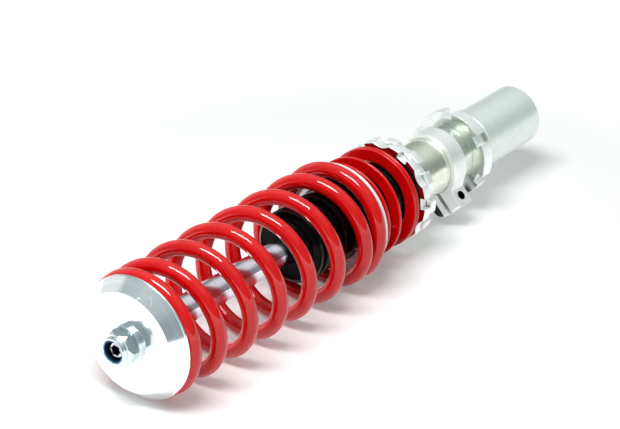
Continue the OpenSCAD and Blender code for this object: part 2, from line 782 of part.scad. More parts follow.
lower_housing();
end_cap();
cap_seal_ring();
damper_tube();
lower_lock_ring();
bracket_clamp();
clamp_bolt();
lock_ring();
perch_ring();
helper_spring();
dust_sleeve();
separator_ring();
main_spring();
bump_stop();
gland_nut();
rod_seal();
rod_guide();
guide_bush();
inner_cylinder();
base_valve();
piston_rod();
rebound_stop();
rebound_shims();
piston();
piston_band();
compression_shims();
piston_nut();
upper_spring_seat();
washers();
top_nut();
nylon_insert();
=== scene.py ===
# %% [markdown]
# # A coilover strut, dressed piece by piece
# A coilover is a damper with its spring wound round it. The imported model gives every
# piece its place and its joints. This lesson keeps that frame and makes the outside
# look like painted spring steel, zinc plating, turned aluminium, chrome and rubber.

from math import cos, pi, radians, sin, sqrt, tan

import bmesh
import bpy
from mathutils import Matrix, Vector


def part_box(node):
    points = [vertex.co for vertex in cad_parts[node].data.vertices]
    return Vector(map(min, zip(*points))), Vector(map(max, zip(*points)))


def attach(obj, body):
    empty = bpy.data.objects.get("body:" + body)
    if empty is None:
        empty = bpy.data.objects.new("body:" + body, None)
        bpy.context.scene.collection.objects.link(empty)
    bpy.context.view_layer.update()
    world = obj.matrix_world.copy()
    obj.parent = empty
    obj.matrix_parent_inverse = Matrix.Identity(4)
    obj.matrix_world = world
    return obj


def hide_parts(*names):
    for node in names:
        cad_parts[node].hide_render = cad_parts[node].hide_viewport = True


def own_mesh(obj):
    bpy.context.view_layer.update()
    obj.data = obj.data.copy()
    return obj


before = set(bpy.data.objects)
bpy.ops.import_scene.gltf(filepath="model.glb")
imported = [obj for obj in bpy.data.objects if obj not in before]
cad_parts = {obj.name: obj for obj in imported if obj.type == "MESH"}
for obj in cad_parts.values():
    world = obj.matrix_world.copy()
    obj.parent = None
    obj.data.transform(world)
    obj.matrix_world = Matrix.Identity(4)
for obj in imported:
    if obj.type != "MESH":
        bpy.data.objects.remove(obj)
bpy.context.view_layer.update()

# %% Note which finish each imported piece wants, and clear the plain ones
wanted = {name: piece.data.materials[0].name for name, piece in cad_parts.items()}
for plain in set(wanted.values()):
    bpy.data.materials.remove(bpy.data.materials[plain])
print("finishes wanted:", ", ".join(sorted(set(wanted.values()))))

# %% [markdown]
# ## The camera
# A long lens looks down on the strut's upper end. The view is set first, so that every
# piece can be judged through it as it is made. A camera can be aimed with a constraint,
# but one matrix, made from its right and up directions, says exactly how it is held.

# %% Place the camera
def stand(name, data, stands_at, axes):
    holder = bpy.data.objects.new(name, data)
    turned_to = Matrix(axes).transposed().to_4x4()
    holder.matrix_world = Matrix.Translation(stands_at) @ turned_to
    bpy.context.scene.collection.objects.link(holder)
    return holder


def look_from(stands_at, right, up, lens):
    camera = bpy.data.cameras.new("camera")
    camera.sensor_fit = "HORIZONTAL"
    camera.sensor_width = 36
    camera.lens = lens
    camera.clip_start = 0.01
    camera.clip_end = 60
    back = Vector(right).cross(Vector(up)).normalized()
    holder = stand("camera", camera, stands_at, (right, up, back))
    bpy.context.scene.camera = holder
    return holder


camera = look_from(stands_at=(1.3514, 0.856, 0.716), right=(-0.6075, 0.7943, 0),
                   up=(-0.3532, -0.2701, 0.8957), lens=129.2)
print("camera stands", round(camera.location.length, 2), "m from the knuckle")

# %% [markdown]
# ## Nodes in two words
# Every finish here is a tree of shader nodes. Trees can be drawn by hand in the
# editor, but written down they can be read and changed. A few short helpers keep them
# readable: one places a node, one feeds a socket, one does a sum, and one turns a
# paint-chart colour into the linear light that the renderer works in.

# %% Helpers for shader trees
def place(tree, kind, settings=None, **inputs):
    node = tree.nodes.new("ShaderNode" + kind)
    for name, value in (settings or {}).items():
        setattr(node, name, value)
    for name, value in inputs.items():
        feed(tree, node.inputs[name.replace("_", " ")], value)
    return node


def feed(tree, socket, value):
    if isinstance(value, bpy.types.NodeSocket):
        tree.links.new(value, socket)
    else:
        socket.default_value = value


def work_out(tree, operation, *terms, clamp=False):
    node = tree.nodes.new("ShaderNodeMath")
    node.operation = operation
    node.use_clamp = clamp
    for socket, term in zip(node.inputs, terms):
        feed(tree, socket, term)
    return node.outputs[0]


def tint(chart):
    parts = [int(chart[i:i + 2], 16) / 255 for i in (0, 2, 4)]
    return [p / 12.92 if p < 0.04045 else ((p + 0.055) / 1.055) ** 2.4
            for p in parts] + [1]


print("mid grey in linear light:", round(tint("808080")[0], 3))


# %% A smooth ramp between two numbers, and a mix of two colours
def ramp(tree, value, low, high, out_low=0.0, out_high=1.0):
    node = place(tree, "MapRange", {"interpolation_type": "SMOOTHSTEP"},
                 Value=value, From_Min=low, From_Max=high, To_Min=out_low,
                 To_Max=out_high)
    return node.outputs["Result"]


def blend_colours(tree, factor, first, second):
    node = tree.nodes.new("ShaderNodeMix")
    node.data_type = "RGBA"
    feed(tree, node.inputs["Factor"], factor)
    feed(tree, node.inputs[6], first)
    feed(tree, node.inputs[7], second)
    return node.outputs[2]


# %% [markdown]
# ## The studio
# Polished metal shows the room more than itself. This room has a back wall that is
# grey below and bright above, a white sheet standing at one side, a grey side behind
# the camera, and a white table. It could be an image wrapped round the scene, but as
# shader nodes every grey can be set by hand. Two softboxes hang overhead. One lights
# the strut and its table. The other is seen only in reflections, and draws the short
# bright bars on the coils.

# %% Paint the room that the metal reflects
def facing(tree, way, direction):
    toward = place(tree, "VectorMath", {"operation": "DOT_PRODUCT"})
    feed(tree, toward.inputs[0], way)
    toward.inputs[1].default_value = Vector(direction).normalized()
    return toward.outputs["Value"]


WALL_BRIGHTENS = (0.42, 0.74)
SIDE_TO_BACK = (-0.1, 0.5)
HORIZON = (-0.02, 0.0)


def paint_room(back_to, sheet_to, sheet_edge, greys_near, greys_far, sheet_white,
               table_white, fill):
    world = bpy.data.worlds.new("studio")
    bpy.context.scene.world = world
    world.use_nodes = True
    tree = world.node_tree
    tree.nodes.clear()
    way = place(tree, "TexCoord").outputs["Generated"]
    height = place(tree, "SeparateXYZ", Vector=way).outputs["Z"]
    climbing = ramp(tree, height, *WALL_BRIGHTENS)
    near = blend_colours(tree, climbing, *greys_near)
    far = blend_colours(tree, climbing, *greys_far)
    greys = blend_colours(tree, ramp(tree, facing(tree, way, back_to), *SIDE_TO_BACK),
                          near, far)
    sheet = ramp(tree, facing(tree, way, sheet_to), *sheet_edge)
    walls = blend_colours(tree, sheet, greys, sheet_white)
    room = blend_colours(tree, ramp(tree, height, *HORIZON), table_white, walls)
    path = place(tree, "LightPath")
    dimmed = blend_colours(tree, path.outputs["Is Diffuse Ray"], room,
                           blend_colours(tree, fill, (0, 0, 0, 1), room))
    light = place(tree, "Background", Color=blend_colours(
        tree, path.outputs["Is Camera Ray"], dimmed, (1, 1, 1, 1)))
    place(tree, "OutputWorld", Surface=light.outputs[0])
    return world


studio = paint_room(back_to=(-0.9, 0, 0.42), sheet_to=(-0.08, -0.95, 0.25),
                    sheet_edge=(0.83, 0.92),
                    greys_near=((0.34, 0.39, 0.41, 1), (0.50, 0.56, 0.57, 1)),
                    greys_far=((0.29, 0.34, 0.32, 1), (0.90, 0.94, 0.93, 1)),
                    sheet_white=(0.93, 0.95, 0.96, 1),
                    table_white=(0.95, 0.95, 0.95, 1), fill=0.5)
print("room painted with", len(studio.node_tree.nodes), "nodes")


# %% Hang a softbox
def hang_softbox(name, aim, toward, across, width, depth, distance, radiance):
    lamp = bpy.data.lights.new(name, "AREA")
    lamp.shape = "RECTANGLE"
    lamp.size = width
    lamp.size_y = depth
    lamp.energy = radiance * pi * width * depth
    out = Vector(toward).normalized()
    side = (Vector(across) - out * Vector(across).dot(out)).normalized()
    return stand(name, lamp, out * distance + Vector(aim),
                 (side, out.cross(side), out))


ACROSS_THE_STRUT = (-0.13, 0.55, 0)
overhead = hang_softbox("overhead", aim=(0.25, 0, 0), toward=(0.40, 0.07, 0.91),
                        across=ACROSS_THE_STRUT, width=1.0, depth=0.46, distance=1.7,
                        radiance=17)
overhead.visible_glossy = False
mirrored = hang_softbox("mirrored", aim=(0.18, 0, 0), toward=(0.38, 0.07, 0.92),
                        across=ACROSS_THE_STRUT, width=0.56, depth=0.27, distance=0.95,
                        radiance=22)
mirrored.visible_diffuse = False
for holder in (overhead, mirrored):
    print(holder.name, "power:", round(holder.data.energy, 1), "W")

# %% [markdown]
# ## The table
# A large matt white sheet. It keeps the soft shadow under the strut. A little light
# of its own, seen only by the camera and in reflections, carries the open sheet up to
# white without lighting the object, and grows outwards as the lamp's light falls off.

# %% Lay the table
GLOW_GROWS = (0.28, 0.7)


def to_object(bm, name):
    mesh = bpy.data.meshes.new(name)
    bm.to_mesh(mesh)
    bm.free()
    piece = bpy.data.objects.new(name, mesh)
    bpy.context.scene.collection.objects.link(piece)
    return piece


def lay_table(height, size, white, middle, lift, mirror_lift):
    bm = bmesh.new()
    bmesh.ops.create_grid(bm, x_segments=2, y_segments=2, size=size)
    bmesh.ops.translate(bm, verts=bm.verts, vec=(0, 0, height))
    table = to_object(bm, "table")
    paper = bpy.data.materials.new("white_paper")
    paper.use_nodes = True
    tree = paper.node_tree
    tree.nodes.clear()
    path = place(tree, "LightPath")
    away = place(tree, "VectorMath", {"operation": "DISTANCE"})
    feed(tree, away.inputs[0], place(tree, "TexCoord").outputs["Object"])
    away.inputs[1].default_value = middle
    out = away.outputs["Value"]
    strengths = [work_out(tree, "MULTIPLY", path.outputs[ray],
                          ramp(tree, out, *GLOW_GROWS, near, 1.0))
                 for ray, near in (("Is Camera Ray", lift), ("Is Glossy Ray", mirror_lift))]
    sheet = place(tree, "BsdfDiffuse", Color=white)
    glow = place(tree, "Emission", Color=(1, 1, 1, 1),
                 Strength=work_out(tree, "ADD", *strengths))
    both = place(tree, "AddShader")
    tree.links.new(sheet.outputs[0], both.inputs[0])
    tree.links.new(glow.outputs[0], both.inputs[1])
    place(tree, "OutputMaterial", Surface=both.outputs[0])
    table.data.materials.append(paper)
    return table


table = lay_table(height=-0.0461, size=9, white=(0.87, 0.87, 0.87, 1),
                  middle=(0.2, 0, -0.046), lift=0.19, mirror_lift=0.34)
print("table at", round(table.data.vertices[0].co.z, 4), "m")

# %% [markdown]
# ## Effects that several finishes share
# A lathe leaves fine rings, plating blooms in faint patches, handling leaves hairline
# marks, and dust settles on paint. Each could be drawn again in every finish. Made once
# as a node group that puts out a mask or a height, it is the same everywhere, and each
# finish sets its own strength.

# %% Start a node group
def start_group(name, inputs, outputs):
    group = bpy.data.node_groups.new(name, "ShaderNodeTree")
    for label, default in inputs:
        kind = "NodeSocketVector" if default is None else "NodeSocketFloat"
        socket = group.interface.new_socket(label, in_out="INPUT", socket_type=kind)
        if default is not None:
            socket.default_value = default
    for label in outputs:
        group.interface.new_socket(label, in_out="OUTPUT",
                                   socket_type="NodeSocketFloat")
    given = group.nodes.new("NodeGroupInput")
    result = group.nodes.new("NodeGroupOutput")
    return group, given, result


# %% Fine rings from the lathe, with broader ones among them
BROADER = 0.16


def make_lathe_rings():
    group, given, result = start_group(
        "lathe_rings", [("Vector", None), ("Rings", 900.0), ("Along", 1.0)],
        ["Height", "Sheen"])
    parts = place(group, "SeparateXYZ", Vector=given.outputs["Vector"])
    y, z = parts.outputs["Y"], parts.outputs["Z"]
    radius = work_out(group, "SQRT", work_out(
        group, "ADD", work_out(group, "MULTIPLY", y, y),
        work_out(group, "MULTIPLY", z, z)))
    along = work_out(group, "MULTIPLY", parts.outputs["X"], given.outputs["Along"])
    flat = place(group, "CombineXYZ", X=along, Y=radius).outputs[0]
    fine = place(group, "TexNoise", {"noise_dimensions": "2D"}, Vector=flat,
                 Scale=given.outputs["Rings"], Detail=3, Roughness=0.7)
    broad = place(group, "TexNoise", {"noise_dimensions": "2D"}, Vector=flat,
                  Scale=work_out(group, "MULTIPLY", given.outputs["Rings"], BROADER),
                  Detail=2)
    height = work_out(group, "ADD", work_out(group, "MULTIPLY", fine.outputs[0], 0.6),
                      work_out(group, "MULTIPLY", broad.outputs[0], 0.4))
    group.links.new(height, result.inputs["Height"])
    group.links.new(ramp(group, broad.outputs[0], 0.35, 0.65), result.inputs["Sheen"])
    return group


# %% Faint patches in plating
def make_plating_bloom():
    group, given, result = start_group(
        "plating_bloom", [("Vector", None), ("Patches", 60.0)], ["Mask", "Grain"])
    cloud = place(group, "TexNoise", Vector=given.outputs["Vector"],
                  Scale=given.outputs["Patches"], Detail=5, Roughness=0.6)
    grain = place(group, "TexNoise", Vector=given.outputs["Vector"],
                  Scale=work_out(group, "MULTIPLY", given.outputs["Patches"], 26.0),
                  Detail=2)
    group.links.new(ramp(group, cloud.outputs[0], 0.38, 0.64), result.inputs["Mask"])
    group.links.new(grain.outputs[0], result.inputs["Grain"])
    return group


# %% Hairline marks from handling, and specks of dust
def make_hairlines():
    group, given, result = start_group(
        "hairlines", [("Vector", None), ("Density", 90.0)], ["Mask"])
    bent = place(group, "TexNoise", Vector=given.outputs["Vector"], Scale=35.0)
    moved = place(group, "VectorMath", {"operation": "MULTIPLY_ADD"})
    group.links.new(bent.outputs["Color"], moved.inputs[0])
    moved.inputs[1].default_value = (0.02, 0.02, 0.02)
    group.links.new(given.outputs["Vector"], moved.inputs[2])
    cells = place(group, "TexVoronoi", {"feature": "DISTANCE_TO_EDGE"},
                  Vector=moved.outputs[0], Scale=given.outputs["Density"])
    line = ramp(group, cells.outputs["Distance"], 0.0, 0.012, 1.0, 0.0)
    where = place(group, "TexNoise", Vector=given.outputs["Vector"], Scale=70.0)
    kept = ramp(group, where.outputs[0], 0.55, 0.66)
    group.links.new(work_out(group, "MULTIPLY", line, kept), result.inputs["Mask"])
    return group


def make_dust():
    group, given, result = start_group(
        "dust", [("Vector", None), ("Specks", 700.0)], ["Mask"])
    cells = place(group, "TexVoronoi", Vector=given.outputs["Vector"],
                  Scale=given.outputs["Specks"])
    speck = ramp(group, cells.outputs["Distance"], 0.05, 0.16, 1.0, 0.0)
    where = place(group, "TexNoise", Vector=given.outputs["Vector"], Scale=160.0)
    kept = ramp(group, where.outputs[0], 0.58, 0.68)
    group.links.new(work_out(group, "MULTIPLY", speck, kept), result.inputs["Mask"])
    return group


# %% Orange peel in sprayed paint, and the grain of moulded rubber
def make_pebble():
    group, given, result = start_group(
        "pebble", [("Vector", None), ("Size", 300.0)], ["Height"])
    wave = place(group, "TexNoise", Vector=given.outputs["Vector"],
                 Scale=given.outputs["Size"], Detail=2, Roughness=0.5)
    group.links.new(wave.outputs[0], result.inputs["Height"])
    return group


effects = {g.name: g for g in (make_lathe_rings(), make_plating_bloom(),
                               make_hairlines(), make_dust(), make_pebble())}
print("shared effects:", ", ".join(effects))

# %% [markdown]
# ## One way to start a finish
# Each finish is a Principled shader with its plain values set on its own sockets.
# The effects then push its colour, roughness and normal about. Patterns follow
# Object coordinates, so they sit still on the piece in every pose.

# %% Start a finish
def start_finish(name, colour, metallic, roughness, **values):
    material = bpy.data.materials.new(name)
    material.use_nodes = True
    tree = material.node_tree
    tree.nodes.clear()
    shader = place(tree, "BsdfPrincipled", Metallic=metallic, Roughness=roughness,
                   **values)
    shader.inputs["Base Color"].default_value = colour
    place(tree, "OutputMaterial", Surface=shader.outputs[0])
    spot = place(tree, "TexCoord").outputs["Object"]
    return material, tree, shader, spot


def effect(tree, name, spot, **values):
    node = tree.nodes.new("ShaderNodeGroup")
    node.node_tree = effects[name]
    feed(tree, node.inputs["Vector"], spot)
    for label, value in values.items():
        feed(tree, node.inputs[label], value)
    return node.outputs


def raise_surface(tree, shader, height, strength, depth, under=None):
    bump = place(tree, "Bump", Strength=strength, Distance=depth, Height=height)
    if under is not None:
        tree.links.new(under, bump.inputs["Normal"])
    tree.links.new(bump.outputs[0], shader.inputs["Normal"])
    return bump.outputs[0]


# %% [markdown]
# ## Zinc plating
# Zinc plating is a slightly green, slightly cloudy silver over turned steel. The
# rings and the clamp are whiter and more satin, with a mirror only on their turned
# faces. Each could have a tree of its own, but only the numbers differ, so one recipe
# serves them all: a matt coat is a little less metallic, and a bright one smoother.

# %% Zinc-plated steel
def zinc_plate(name, light, cloudy, roughness, rings, depth, patches, metal=1.0):
    material, tree, shader, spot = start_finish(name, light, metal, roughness)
    turned_marks = effect(tree, "lathe_rings", spot, Rings=rings)
    bloom = effect(tree, "plating_bloom", spot, Patches=patches)
    marks = effect(tree, "hairlines", spot)
    colour = blend_colours(tree, work_out(tree, "MULTIPLY", bloom["Mask"], 0.7),
                           light, cloudy)
    tree.links.new(colour, shader.inputs["Base Color"])
    rough = roughness - 0.03
    for mask, amount in ((bloom["Mask"], 0.07), (turned_marks["Sheen"], 0.03),
                         (marks["Mask"], 0.2)):
        rough = work_out(tree, "ADD", rough, work_out(tree, "MULTIPLY", mask, amount),
                         clamp=True)
    tree.links.new(rough, shader.inputs["Roughness"])
    grained = raise_surface(tree, shader, bloom["Grain"], strength=0.12, depth=4e-5)
    raise_surface(tree, shader, turned_marks["Height"], strength=0.5, depth=depth,
                  under=grained)
    return material


housing_zinc = zinc_plate("zinc_plated_steel", tint("f0f6f3"), tint("e6eee9"),
                          roughness=0.40, rings=900, depth=1e-5, patches=60, metal=0.55)
tube_zinc = zinc_plate("zinc_plated_thread", tint("e6e9dd"), tint("dbe0d1"),
                       roughness=0.20, rings=1500, depth=3e-6, patches=80)
turned_steel = zinc_plate("turned_steel", tint("d9dcda"), tint("cfd3cf"),
                          roughness=0.24, rings=1100, depth=1.5e-5, patches=70)
ring_plate = zinc_plate("plated_ring", tint("fafbfb"), tint("f2f5f4"), roughness=0.48,
                        rings=1300, depth=1.2e-5, patches=110, metal=0.85)
nut_plate = zinc_plate("plated_nut", tint("dfeaea"), tint("cfdcdc"), roughness=0.16,
                       rings=700, depth=1e-5, patches=160)
ring_face = zinc_plate("turned_ring_face", tint("e4e9e5"), tint("d9dfda"),
                       roughness=0.13, rings=1500, depth=2e-6, patches=110)
satin_plate = zinc_plate("satin_separator", tint("fcfcfc"), tint("f8f9f9"),
                         roughness=0.34, rings=1300, depth=4e-6, patches=110, metal=0.1)
print("plated:", ", ".join(m.name for m in (housing_zinc, tube_zinc, turned_steel,
                                            ring_plate, nut_plate, ring_face,
                                            satin_plate)))

# %% [markdown]
# ## Turned aluminium and hard chrome
# The upper seat is bare aluminium, nearly a mirror but for the tool's rings. The rod is
# hard chrome, ground round and round, so it draws reflections out along itself. Fine
# bumps could do that, but they sparkle. The shader's own anisotropy stays smooth.

# %% Turned aluminium, chrome and the metals inside
def turned_metal(name, light, roughness, rings, depth, hair, drawn_out=0.0):
    material, tree, shader, spot = start_finish(name, light, 1.0, roughness)
    if drawn_out:
        shader.inputs["Anisotropic"].default_value = drawn_out
        shader.inputs["Anisotropic Rotation"].default_value = 0.25
        round_it = place(tree, "Tangent", {"direction_type": "RADIAL", "axis": "X"})
        tree.links.new(round_it.outputs[0], shader.inputs["Tangent"])
    turned_marks = effect(tree, "lathe_rings", spot, Rings=rings)
    marks = effect(tree, "hairlines", spot, Density=60.0)
    rough = work_out(tree, "ADD", roughness,
                     work_out(tree, "MULTIPLY", turned_marks["Sheen"], 0.025))
    rough = work_out(tree, "ADD", rough,
                     work_out(tree, "MULTIPLY", marks["Mask"], hair), clamp=True)
    tree.links.new(rough, shader.inputs["Roughness"])
    darker = [c * 0.93 for c in light[:3]] + [1]
    tree.links.new(blend_colours(tree, turned_marks["Sheen"], light, darker),
                   shader.inputs["Base Color"])
    raise_surface(tree, shader, turned_marks["Height"], strength=0.6, depth=depth)
    return material


seat_metal = turned_metal("turned_aluminium", tint("f1f5f6"), roughness=0.12,
                          rings=1700, depth=8e-6, hair=0.15)
chrome = turned_metal("chromed_rod", tint("e2dce8"), roughness=0.09, rings=9000,
                      depth=1e-7, hair=0.05, drawn_out=0.9)
bronze = turned_metal("bronze", tint("b98a4e"), roughness=0.25, rings=1500,
                      depth=1e-5, hair=0.2)
sintered = turned_metal("sintered_iron", tint("6e6c68"), roughness=0.42, rings=2500,
                        depth=2e-5, hair=0.1)
print("turned:", seat_metal.name, chrome.name, bronze.name, sintered.name)

# %% [markdown]
# ## Red powder coat
# The springs are powder coated: a strong, glossy red with a hint of orange peel and a
# few specks of dust. The peel could be real geometry, but a bump that follows a noise
# costs nothing and is as fine.

# %% Red paint for both springs
def red_paint(name, deep, bright):
    material, tree, shader, spot = start_finish(
        name, bright, metallic=0.0, roughness=0.05, Specular_IOR_Level=0.5)
    bloom = effect(tree, "plating_bloom", spot, Patches=35.0)
    dust = effect(tree, "dust", spot, Specks=420.0)
    colour = blend_colours(tree, bloom["Mask"], deep, bright)
    fleck = blend_colours(tree, work_out(tree, "MULTIPLY", dust["Mask"], 0.18),
                          colour, tint("f0605a"))
    tree.links.new(fleck, shader.inputs["Base Color"])
    peel = effect(tree, "pebble", spot, Size=330.0)
    raise_surface(tree, shader, peel["Height"], strength=0.12, depth=3e-5)
    return material


spring_red = red_paint("red_spring", tint("d80408"), tint("e0060a"))
print("paint:", spring_red.name)

# %% [markdown]
# ## Rubber, plastics and blackened steel
# The bump stop is rubber, the sleeve a harder, glossier plastic, the bolt blackened
# steel, and the nut's insert blue nylon. A picture of grain could be mapped on, but a
# noise has no seam and suits every size of piece. Bores, the stud's socket, the inside
# of the nylon ring and the separator's collar get near-black finishes that are painted
# shade.

# %% Everything moulded or blackened
def moulded(name, light, deep, roughness, grain, depth=3e-5, speck=0.0, metal=0.0,
            **values):
    material, tree, shader, spot = start_finish(name, light, metal, roughness, **values)
    bloom = effect(tree, "plating_bloom", spot, Patches=90.0)
    dust = effect(tree, "dust", spot)
    colour = blend_colours(tree, bloom["Mask"], deep, light)
    colour = blend_colours(tree, work_out(tree, "MULTIPLY", dust["Mask"], speck),
                           colour, tint("b8b4ae"))
    tree.links.new(colour, shader.inputs["Base Color"])
    rough = work_out(tree, "ADD", roughness,
                     work_out(tree, "MULTIPLY", bloom["Mask"], 0.08), clamp=True)
    tree.links.new(rough, shader.inputs["Roughness"])
    pebble = effect(tree, "pebble", spot, Size=grain)
    raise_surface(tree, shader, pebble["Height"], strength=0.3, depth=depth)
    return material


rubber = moulded("black_rubber", tint("050506"), tint("030304"), roughness=0.13,
                 grain=1400, speck=0.015, Specular_IOR_Level=0.08)
black_plastic = moulded("black_plastic", tint("040405"), tint("030303"), roughness=0.11,
                        grain=1800, depth=2e-5, Specular_IOR_Level=0.09)
black_steel = moulded("black_steel", tint("26282a"), tint("1b1c1e"), roughness=0.32,
                      grain=2600, speck=0.05, metal=0.7)
white_plastic = moulded("white_plastic", tint("e6e2d6"), tint("dad5c6"), roughness=0.4,
                        grain=1500)
brown_plastic = moulded("brown_plastic", tint("6b4a2c"), tint("573a20"), roughness=0.4,
                        grain=1500)
blue_nylon = moulded("blue_nylon", tint("3a86b4"), tint("2f78a6"), roughness=0.38,
                     grain=900, Specular_IOR_Level=0.25)
# painted shade: a near-black blue for the inside of the nylon ring
painted_shade_nylon = moulded("blue_nylon_bore", tint("0a1830"), tint("071226"), roughness=0.5,
                     grain=900, Specular_IOR_Level=0.1)
# painted shade: a near black for the tapped hole, the stud's socket and chamfer, and the
# separator's collar
painted_shade = moulded("oiled_bore", tint("0b0c0d"), tint("070708"), roughness=0.4,
                    grain=2600, depth=2e-5, Specular_IOR_Level=0.15)
print("moulded:", ", ".join(m.name for m in (rubber, black_plastic, black_steel,
                                             white_plastic, brown_plastic, blue_nylon,
                                             painted_shade_nylon, painted_shade)))

# %% [markdown]
# ## The pieces inside
# Piston, valves and bushes sit inside the tube. They could be modelled again, but the
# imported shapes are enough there, so each only gets the finish it asked for.

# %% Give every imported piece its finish
for name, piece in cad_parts.items():
    piece.data.materials[0] = bpy.data.materials[wanted[name]]
print("finishes placed on", len(wanted), "packed pieces")

# %% [markdown]
# ## From an upright bench to the strut lying down
# Pieces are modelled upright in millimetres, with heights measured from the lower
# tube's end, as on a drawing, because a workshop's numbers are easy to check. They
# could be turned and scaled as objects, but then patterns and poses would slide. So one
# matrix lays the mesh itself down in metres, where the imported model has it, and the
# piece is hung on its body.

# %% Lay a piece down and hang it
KNUCKLE_MID = 34.75
LAY_DOWN = Matrix(((0, 0, 0.001, -KNUCKLE_MID / 1000), (0, 0.001, 0, 0),
                   (-0.001, 0, 0, 0), (0, 0, 0, 1)))


def mark_faces(bm, takes_second):
    bm.normal_update()
    for face in bm.faces:
        face.material_index = bool(takes_second(face.calc_center_median(), face.normal))


def hang(bm, name, body, stands_for, finish, second=None, crisp=40, weigh=True):
    bmesh.ops.transform(bm, matrix=LAY_DOWN, verts=bm.verts)
    return hang_laid(bm, name, body, stands_for, finish, second, crisp, weigh)


def hang_laid(bm, name, body, stands_for, finish, second, crisp=40, weigh=True):
    for face in bm.faces:
        face.smooth = True
    piece = to_object(bm, name)
    piece.data.set_sharp_from_angle(angle=radians(crisp))
    for coat in filter(None, (finish, second)):
        piece.data.materials.append(coat)
    if weigh:
        weighted = piece.modifiers.new("even_shading", "WEIGHTED_NORMAL")
        weighted.keep_sharp = True
    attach(piece, body)
    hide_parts(stands_for)
    print(f"{name}: {len(piece.data.polygons)} faces on {body}")
    return piece


# %% [markdown]
# ## Turned pieces
# Most of a strut comes off a lathe, and `spin` is a lathe. Stacked cylinders would
# give the sizes too, but with hard edges and hidden walls. Here the outline is drawn
# as one flat face, its corners are rounded with a vertex bevel as a toolmaker breaks an
# edge, and the outline is spun round the axis.

# %% Turn an outline of [radius, height, rounding] corners
MERGE = 1e-4


def turn_outline(bm, outline, steps=96):
    corners = [bm.verts.new((r, 0, z)) for r, z, _ in outline]
    section = bm.faces.new(corners)
    for corner, (_, _, rounding) in zip(corners, outline):
        if rounding:
            bmesh.ops.bevel(bm, geom=[corner], offset=rounding, offset_type="OFFSET",
                            affect="VERTICES", segments=3, profile=0.5, material=-1,
                            clamp_overlap=False)
    section = [f for f in bm.faces if all(abs(v.co.y) < 1e-9 for v in f.verts)]
    rim = list({e for f in section for e in f.edges})
    axis = [e for e in rim if all(v.co.x < 1e-6 for v in e.verts)]
    bmesh.ops.delete(bm, geom=section, context="FACES_ONLY")
    rim = [e for e in rim if e.is_valid and e not in axis]
    bmesh.ops.delete(bm, geom=[e for e in axis if e.is_valid], context="EDGES")
    rim = [e for e in rim if e.is_valid]
    points = list({v for e in rim for v in e.verts})
    bmesh.ops.spin(bm, geom=points + rim, cent=(0, 0, 0), axis=(0, 0, 1),
                   angle=2 * pi, steps=steps, use_merge=True)
    bmesh.ops.remove_doubles(bm, verts=bm.verts, dist=MERGE)
    bmesh.ops.recalc_face_normals(bm, faces=bm.faces)


def turned(outline, steps=96):
    bm = bmesh.new()
    turn_outline(bm, outline, steps)
    return bm


# %% [markdown]
# ## Lower end
# A plain plated tube slides into the knuckle. A turned plug closes it, with a wide
# bevel, a black seal round it and a shallow punch mark below its middle. The mark could
# be cut with a boolean, but moving the few points under the punch leaves clean faces.

# %% The lower housing, its plug and its seal
hang(turned([(21, 0, 0.25), (24, 0, 0.9), (24, 69.5, 0.9), (21, 69.5, 0.25)], 128),
     "housing_tube", "housing", "lower_housing", housing_zinc)
hang(turned([(19.97, 0.15, 0.3), (20.93, 0.15, 0.3), (20.93, 3, 0), (19.97, 3, 0)]),
     "plug_seal", "housing", "cap_seal_ring", rubber)


# %% The plug, with its punch mark pressed in
PLUG_FACE = -4


def press_punch_mark(bm, centre, radius, depth):
    for vert in bm.verts:
        if vert.co.z < PLUG_FACE + 0.1:
            away = (vert.co.xy - Vector(centre)).length
            sunk = sqrt(max(radius ** 2 - away ** 2, 0)) - (radius - depth)
            vert.co.z += max(sunk, 0)


plug = turned([(0.45 * i, PLUG_FACE, 0) for i in range(37)]
              + [(16.95, PLUG_FACE, 0.2), (19.95, -1, 0.25), (19.95, 3, 0),
                 (20.95, 3, 0), (20.95, 7, 0.2), (0, 7, 0)])
press_punch_mark(plug, centre=(5, 0), radius=5, depth=0.8)
hang(plug, "housing_plug", "housing", "end_cap", turned_steel)

# %% [markdown]
# ## The threaded damper tube
# The rings climb on this fine, flat-topped thread. A bump pattern would look the same
# from afar, but its edge would stay smooth. So the outline, one pitch long, is spun once
# with a rise, which makes one turn of a real screw thread. The turn is doubled up the
# tube, and the ragged ends are planed off square and closed down to the bore.

# %% Cut the thread
def cut_thread(r, depth, pitch, low, high, steps=72):
    bm = bmesh.new()
    heights = [0, 0.56, 0.68, 0.78, 0.88, 1]
    radii = [r, r, r - depth, r - depth, r, r]
    points = [bm.verts.new((q, 0, low - pitch + pitch * h))
              for q, h in zip(radii, heights)]
    edges = [bm.edges.new(pair) for pair in zip(points, points[1:])]
    bmesh.ops.spin(bm, geom=points + edges, cent=(0, 0, 0), axis=(0, 0, 1),
                   dvec=(0, 0, pitch / steps), angle=2 * pi, steps=steps)
    turns = 1
    while turns < (high - low) / pitch + 2:
        copy = bmesh.ops.duplicate(bm, geom=bm.verts[:] + bm.edges[:] + bm.faces[:])
        moved = [g for g in copy["geom"] if isinstance(g, bmesh.types.BMVert)]
        bmesh.ops.translate(bm, verts=moved, vec=(0, 0, pitch * turns))
        turns *= 2
    bmesh.ops.remove_doubles(bm, verts=bm.verts, dist=1e-3)
    for height, side in ((low, -1), (high, 1)):
        bmesh.ops.bisect_plane(bm, geom=bm.verts[:] + bm.edges[:] + bm.faces[:],
                               dist=1e-5, plane_co=(0, 0, height),
                               plane_no=(0, 0, side), clear_outer=True)
    return bm


# %% Close the thread's ends, and turn the neck below it
def open_rim(bm, height):
    return [e for e in bm.edges if len(e.link_faces) == 1
            and all(abs(v.co.z - height) < 1e-3 for v in e.verts)]


def carry_on(bm, rim, new_place):
    made = bmesh.ops.extrude_edge_only(bm, edges=rim)["geom"]
    for vert in (g for g in made if isinstance(g, bmesh.types.BMVert)):
        vert.co = new_place(vert.co)
    return [g for g in made if isinstance(g, bmesh.types.BMEdge)]


